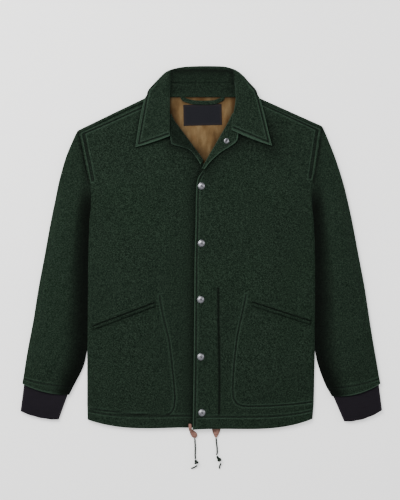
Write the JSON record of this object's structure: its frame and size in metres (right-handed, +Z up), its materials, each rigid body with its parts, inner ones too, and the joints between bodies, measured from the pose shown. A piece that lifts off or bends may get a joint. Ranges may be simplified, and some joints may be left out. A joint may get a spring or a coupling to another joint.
{
  "type": "mackinaw jacket",
  "caption": "Felted wool mackinaw jacket laid flat, snapped front, turned collar, slanted welt pockets, rib-knit cuffs and a hem drawcord.",
  "frame": {"origin": "centre of the jacket's outline without the drawcord's ends, on the surface it lies on", "axes": "+Z up out of the surface, +Y from the hem to the collar, +X towards the wearer's left"},
  "size_m": [0.7786, 0.8693, 0.017],
  "materials": {
    "green_wool": "felted wool, heathered dark green, matte with a short nap",
    "dark_rib_knit": "fine rib knit, dark charcoal purple",
    "tan_lining": "brushed tan cotton",
    "navy_label": "woven label, dark navy with a plain border",
    "pewter_snap": "pewter-coloured domed metal",
    "brown_leather": "brown leather, waxed",
    "green_drawcord": "braided dark green cord"
  },
  "bodies": {
    "root": {"back": "green_wool", "front_right": "green_wool", "front_left": "green_wool", "sleeve_right": "green_wool", "sleeve_left": "green_wool", "collar": "green_wool", "collar_stand": "green_wool", "lapel_right": "green_wool", "lapel_left": "green_wool", "hanger_loop": "green_wool", "welt_right_upper": "green_wool", "welt_right_lower": "green_wool", "welt_left_upper": "green_wool", "welt_left_lower": "green_wool", "cuff_right": "dark_rib_knit", "cuff_left": "dark_rib_knit", "lining": "tan_lining", "label": "navy_label", "snap_1": "pewter_snap", "snap_2": "pewter_snap", "snap_3": "pewter_snap", "snap_4": "pewter_snap", "snap_5": "pewter_snap", "snap_socket": "pewter_snap", "tab_right": "brown_leather", "tab_left": "brown_leather", "cord_right": "green_drawcord", "cord_left": "green_drawcord", "tail_right": "green_drawcord", "tail_left": "green_drawcord", "knot_right": "green_drawcord", "knot_left": "green_drawcord"}
  },
  "joints": []
}
